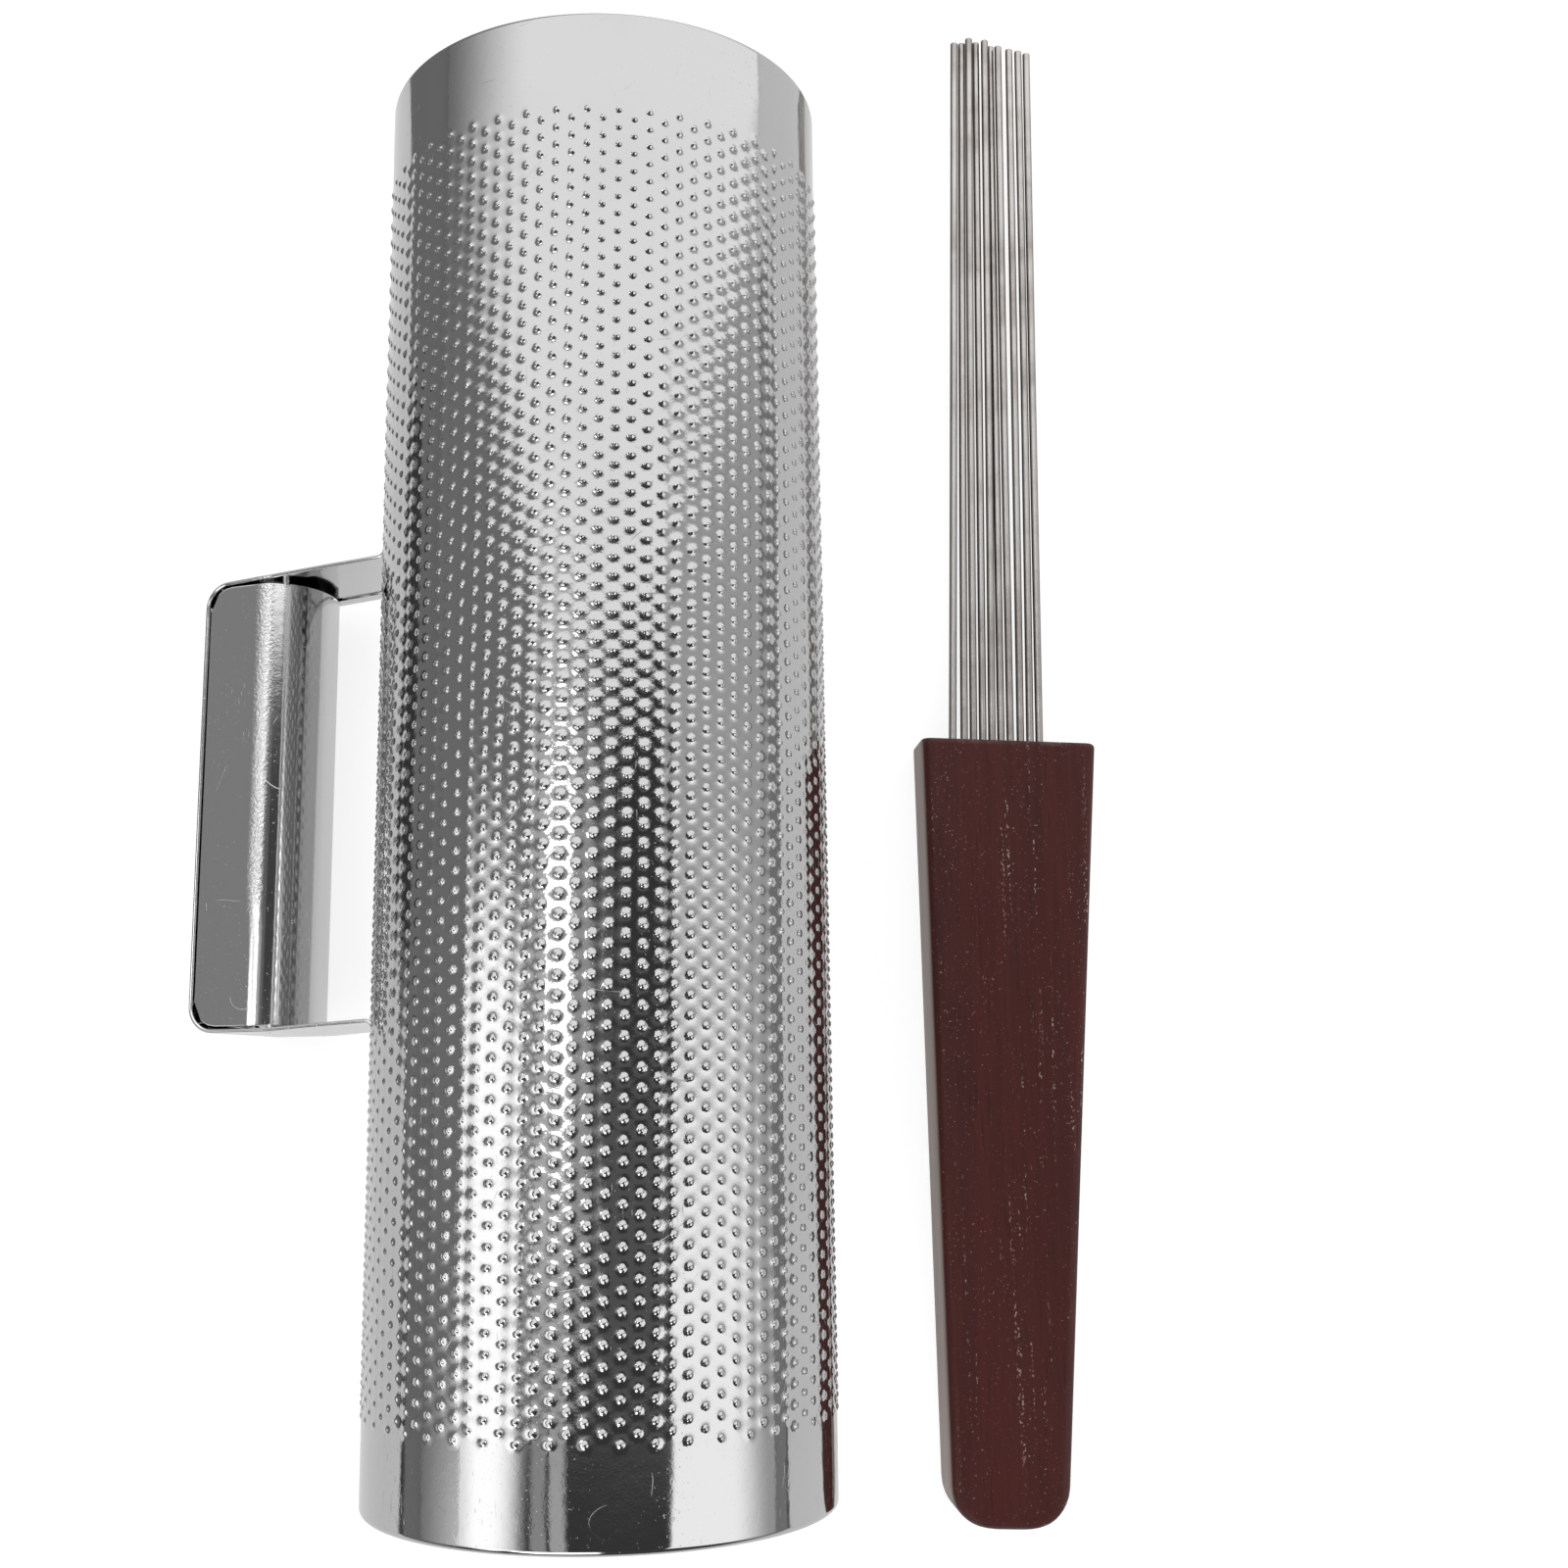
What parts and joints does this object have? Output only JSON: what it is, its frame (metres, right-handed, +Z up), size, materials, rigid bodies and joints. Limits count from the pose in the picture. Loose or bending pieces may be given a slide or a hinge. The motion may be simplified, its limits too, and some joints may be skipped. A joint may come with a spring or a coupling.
{
  "type": "guiro",
  "caption": "Bumped metal guiro: an open steel tube with a welded strap handle and rolled grip, with its wire scraper, a fan of steel wires in a tapered wooden handle.",
  "frame": {"origin": "on the table under the middle of the set's box, the tube and its scraper lying side by side", "axes": "+Z up from the table, +Y along the tube towards the wires' tips, +X from the tube towards the scraper"},
  "size_m": [0.2074, 0.3623, 0.0967],
  "materials": {
    "polished_steel": "mirror-polished stainless sheet with fine rub marks",
    "weld_bead": "bright tack weld",
    "stained_wood": "satin dark red-brown stain, worn light along the edges",
    "wire_steel": "drawn steel wire, satin, slightly warm grey"
  },
  "bodies": {
    "guiro": {"body_tube": "polished_steel", "handle_strap": "polished_steel", "grip_shell": "polished_steel", "tack_welds": "weld_bead"},
    "scraper": {"scraper_handle": "stained_wood"},
    "wires": {"wire_01": "wire_steel", "wire_02": "wire_steel", "wire_03": "wire_steel", "wire_04": "wire_steel", "wire_05": "wire_steel", "wire_06": "wire_steel", "wire_07": "wire_steel", "wire_08": "wire_steel", "wire_09": "wire_steel", "wire_10": "wire_steel"}
  },
  "joints": [
    {"name": "scraper_lift", "type": "slide", "parent": "guiro", "child": "scraper", "axis": [0, 0, 1], "range_m": [0, 0.12]},
    {"name": "wire_flex", "type": "hinge", "parent": "scraper", "child": "wires", "pos_m": [0.08295, -0.0051, 0.008], "axis": [0.9994, -0.0349, 0], "range_deg": [-1.5, 3], "stiffness_Nm_per_rad": 16}
  ]
}
